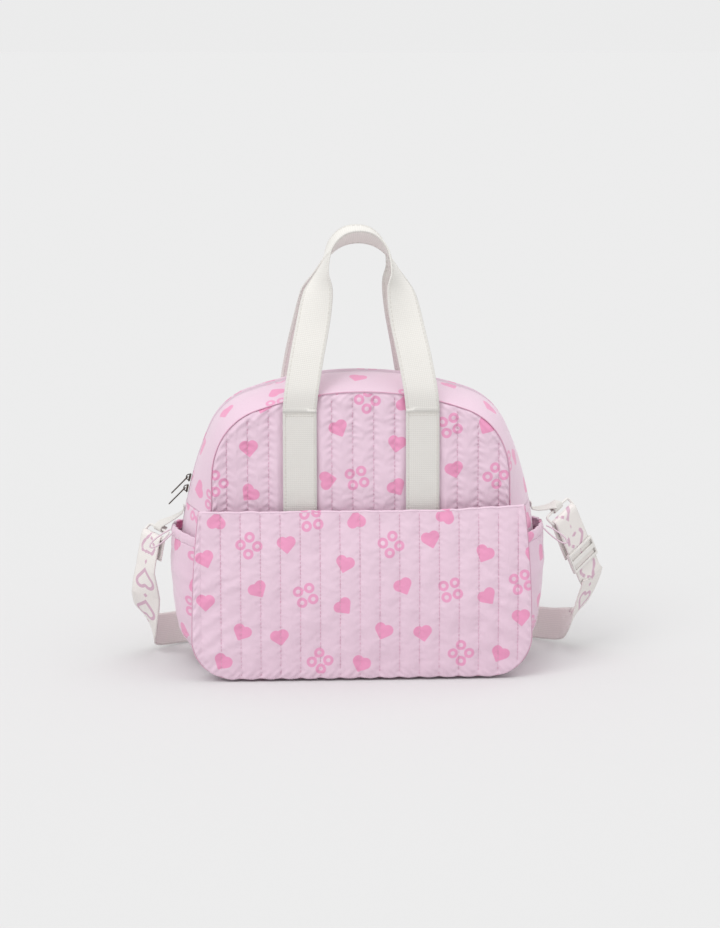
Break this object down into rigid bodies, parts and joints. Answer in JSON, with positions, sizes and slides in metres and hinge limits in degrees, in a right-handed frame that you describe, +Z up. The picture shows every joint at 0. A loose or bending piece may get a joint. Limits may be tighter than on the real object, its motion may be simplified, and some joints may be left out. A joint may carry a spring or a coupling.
{
  "type": "quilted diaper bag",
  "caption": "Soft quilted dome-top bag with webbing handles, a zipped mouth, an open front pocket, side pockets and a shoulder strap.",
  "frame": {"origin": "centre of the base's flat underside, at the bag's mid depth", "axes": "+Z up, -Y towards the front pocket, +X to the right as seen from the front"},
  "size_m": [0.5524, 0.236, 0.5032],
  "materials": {
    "printed_fabric": "quilted satin weave",
    "lining_fabric": "plain weave",
    "cream_webbing": "flat woven webbing",
    "zip_tape": "woven tape",
    "dark_metal": "gunmetal",
    "white_plastic": "moulded",
    "board": "matt sheet",
    "cord": "round braid"
  },
  "bodies": {
    "bag_body": {"front_panel_lower": "printed_fabric", "back_panel": "printed_fabric", "base_panel": "printed_fabric", "side_gusset_left": "printed_fabric", "side_gusset_right": "printed_fabric", "zip_gusset_rear": "printed_fabric", "zip_tape_rear": "zip_tape", "zip_teeth_rear": "zip_tape", "zip_tape_front_end": "zip_tape", "zip_teeth_front_end": "zip_tape", "lining_back": "lining_fabric", "lining_front_lower": "lining_fabric", "lining_side_left": "lining_fabric", "lining_side_right": "lining_fabric", "inner_pocket": "lining_fabric", "base_board": "board", "pocket_panel": "printed_fabric", "pocket_gusset": "printed_fabric", "pocket_binding": "printed_fabric", "side_pocket_left": "printed_fabric", "side_pocket_right": "printed_fabric", "side_pocket_hem_left": "printed_fabric", "side_pocket_hem_right": "printed_fabric", "drawcord_left": "cord", "drawcord_right": "cord", "ring_tab_left": "cream_webbing", "ring_tab_right": "cream_webbing", "strap_ring_left": "white_plastic", "strap_ring_right": "white_plastic", "strap": "cream_webbing", "handle_leg_front_left_lower": "cream_webbing", "handle_leg_front_right_lower": "cream_webbing", "handle_leg_rear_left": "cream_webbing", "handle_leg_rear_right": "cream_webbing"},
    "mouth_front": {"front_panel_upper": "printed_fabric", "zip_gusset_front": "printed_fabric", "zip_tape_front": "zip_tape", "zip_teeth_front": "zip_tape", "lining_front_upper": "lining_fabric", "handle_leg_front_left_upper": "cream_webbing", "handle_leg_front_right_upper": "cream_webbing"},
    "handle_front": {"handle_front": "cream_webbing"},
    "handle_rear": {"handle_rear": "cream_webbing"},
    "slider_a": {"zip_slider_a": "dark_metal"},
    "slider_b": {"zip_slider_b": "dark_metal"},
    "pull_a": {"zip_pull_a": "dark_metal"},
    "pull_b": {"zip_pull_b": "dark_metal"},
    "strap_slider": {"strap_slider": "white_plastic"}
  },
  "joints": [
    {"name": "mouth_open", "type": "hinge", "parent": "bag_body", "child": "mouth_front", "pos_m": [0, -0.084, 0.18145], "axis": [1, 0, 0], "range_deg": [0, 35]},
    {"name": "handle_front_fold", "type": "hinge", "parent": "mouth_front", "child": "handle_front", "pos_m": [0, -0.0755, 0.307], "axis": [1, 0, 0], "range_deg": [0, 160]},
    {"name": "handle_rear_fold", "type": "hinge", "parent": "bag_body", "child": "handle_rear", "pos_m": [0, 0.0755, 0.307], "axis": [-1, 0, 0], "range_deg": [0, 160]},
    {"name": "zip_a_run", "type": "hinge", "parent": "bag_body", "child": "slider_a", "pos_m": [0.195, 0, 0.115], "axis": [0, 1, 0], "range_deg": [0, 8.5]},
    {"name": "zip_b_run", "type": "hinge", "parent": "bag_body", "child": "slider_b", "pos_m": [0.195, 0, 0.115], "axis": [0, 1, 0], "range_deg": [-0.9, 0.4]},
    {"name": "pull_a_swing", "type": "hinge", "parent": "slider_a", "child": "pull_a", "pos_m": [-0.19572, 0, 0.21696], "axis": [0, 1, 0], "range_deg": [-3, 110]},
    {"name": "pull_b_swing", "type": "hinge", "parent": "slider_b", "child": "pull_b", "pos_m": [-0.19879, 0, 0.20434], "axis": [0, 1, 0], "range_deg": [-3, 4]},
    {"name": "strap_slider_run", "type": "slide", "parent": "bag_body", "child": "strap_slider", "axis": [0.3863, 0.2439, -0.8896], "range_m": [-0.012, 0.012]}
  ]
}
